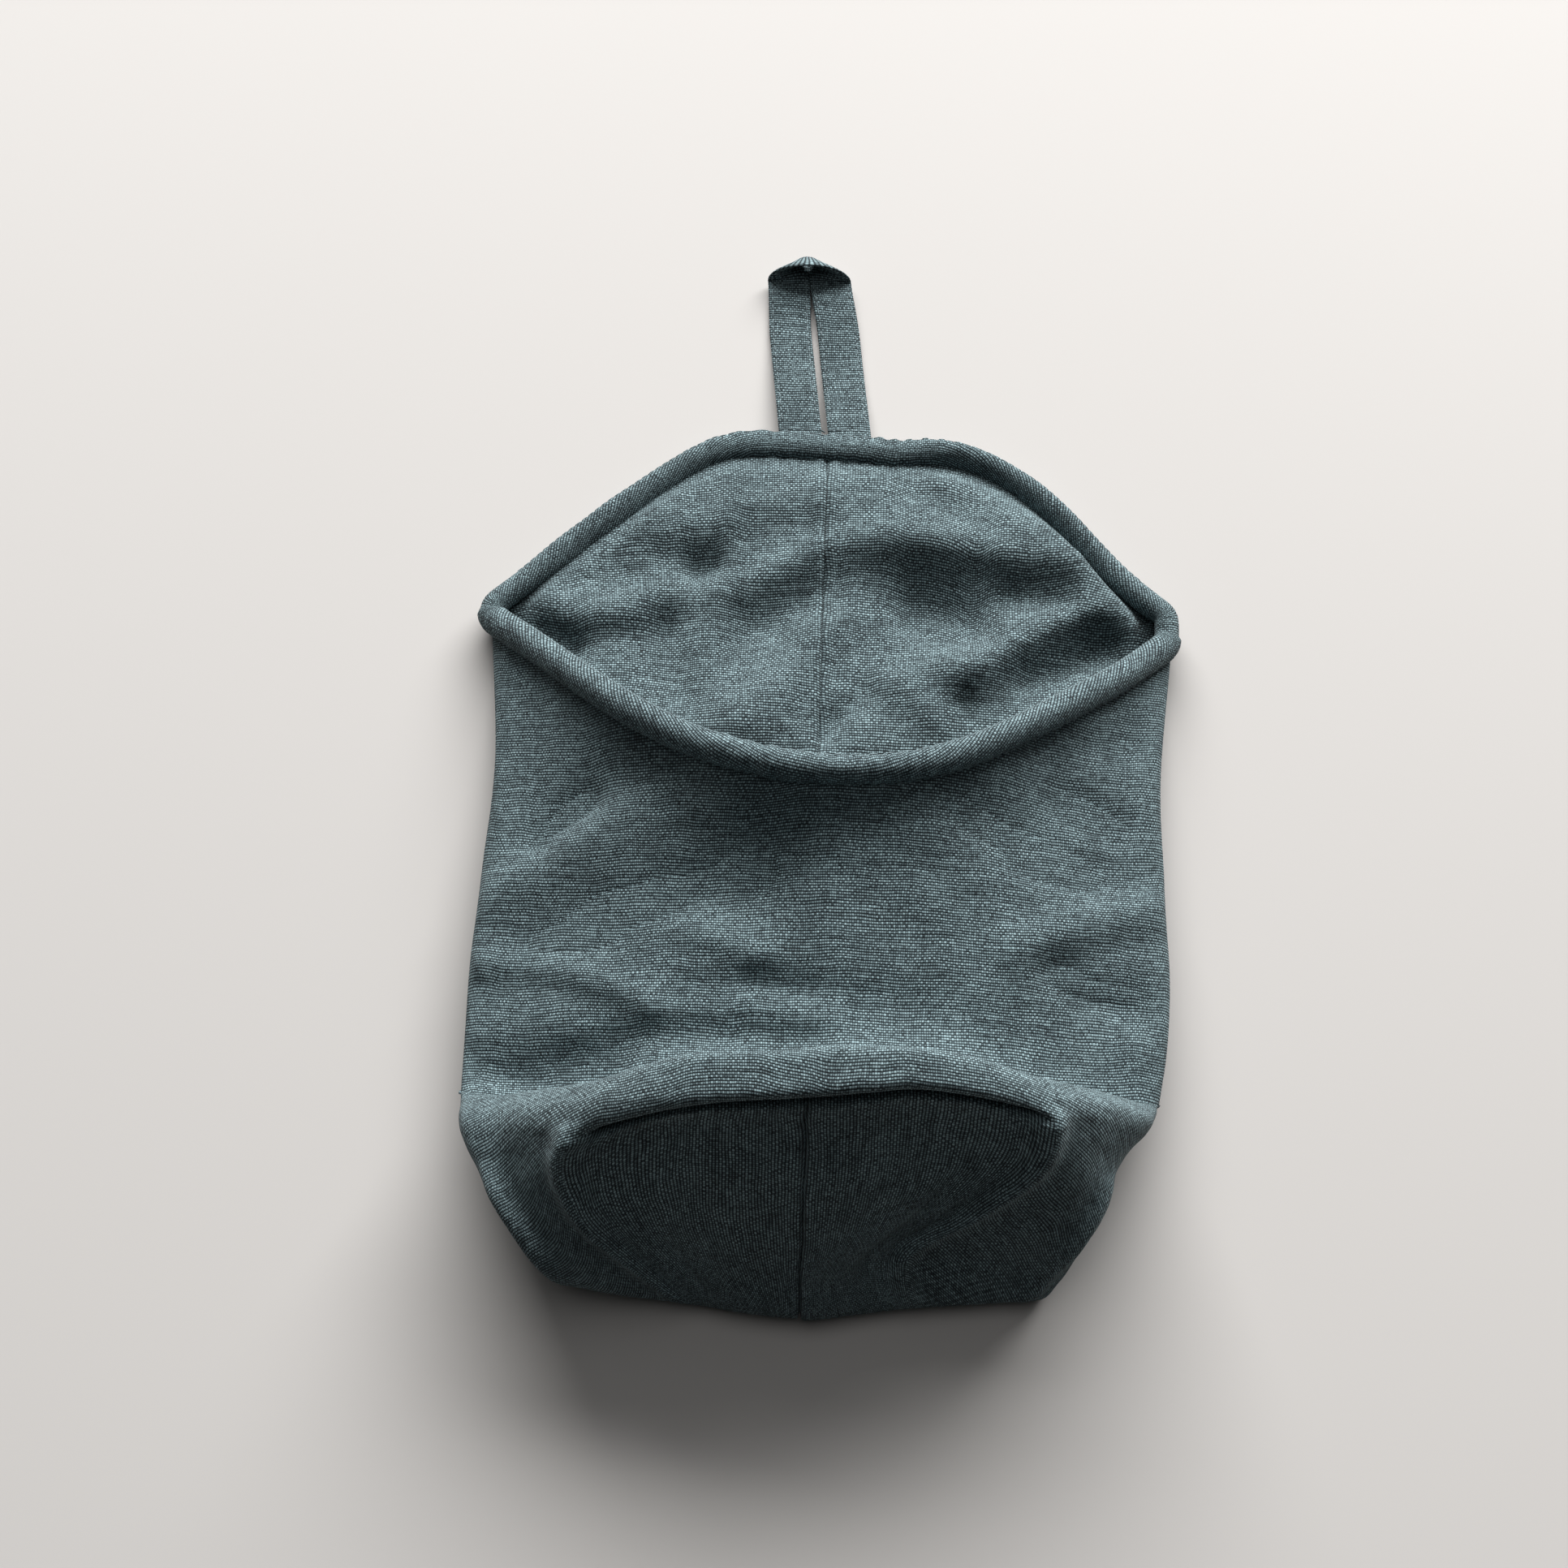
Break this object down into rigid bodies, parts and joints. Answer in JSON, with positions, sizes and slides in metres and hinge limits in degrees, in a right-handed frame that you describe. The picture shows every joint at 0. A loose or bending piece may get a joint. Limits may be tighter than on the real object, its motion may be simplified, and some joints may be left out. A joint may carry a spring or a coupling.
{
  "type": "hanging storage bag",
  "caption": "Lined washed-linen storage bag with a slanting corded mouth, boxed base and a hanging loop sewn behind the back rim, lying on its back.",
  "frame": {"origin": "middle of the bag's bounding box at the level of the surface it lies on", "axes": "+X to the right seen from the front, +Y from the base towards the hanging loop, +Z out of the front of the bag"},
  "size_m": [0.2348, 0.3788, 0.0729],
  "materials": {
    "outer_linen": "washed plain-weave linen",
    "lining_linen": "washed plain-weave linen",
    "cotton_cord": "matt",
    "sewing_thread": "matt"
  },
  "bodies": {
    "bag": {"outer_front": "outer_linen", "outer_back_left": "outer_linen", "outer_back_right": "outer_linen", "outer_base_left": "outer_linen", "outer_base_right": "outer_linen", "lining_front": "lining_linen", "lining_back_left": "lining_linen", "lining_back_right": "lining_linen", "lining_base_left": "lining_linen", "lining_base_right": "lining_linen", "back_rim_casing": "outer_linen", "back_rim_cord": "cotton_cord", "back_rim_stitch": "sewing_thread", "back_edge_stitch": "sewing_thread", "base_seam_stitch": "sewing_thread", "front_box_stitch": "sewing_thread", "back_box_stitch": "sewing_thread", "outer_back_stitch": "sewing_thread", "lining_back_stitch": "sewing_thread"},
    "front_lip": {"front_rim_casing": "outer_linen", "front_rim_cord": "cotton_cord", "front_rim_stitch": "sewing_thread", "front_edge_stitch": "sewing_thread"},
    "loop": {"hanging_loop": "outer_linen", "loop_outer_stitch": "sewing_thread", "loop_inner_stitch": "sewing_thread", "loop_tack": "sewing_thread"}
  },
  "joints": [
    {"name": "front_lip_open", "type": "hinge", "parent": "bag", "child": "front_lip", "pos_m": [0, 0.04095, 0.00711], "axis": [-1, 0, 0], "range_deg": [0, 40]},
    {"name": "loop_swing", "type": "hinge", "parent": "bag", "child": "loop", "pos_m": [0, 0.11947, 0.0043], "axis": [1, 0, 0], "range_deg": [-90, 90]}
  ]
}
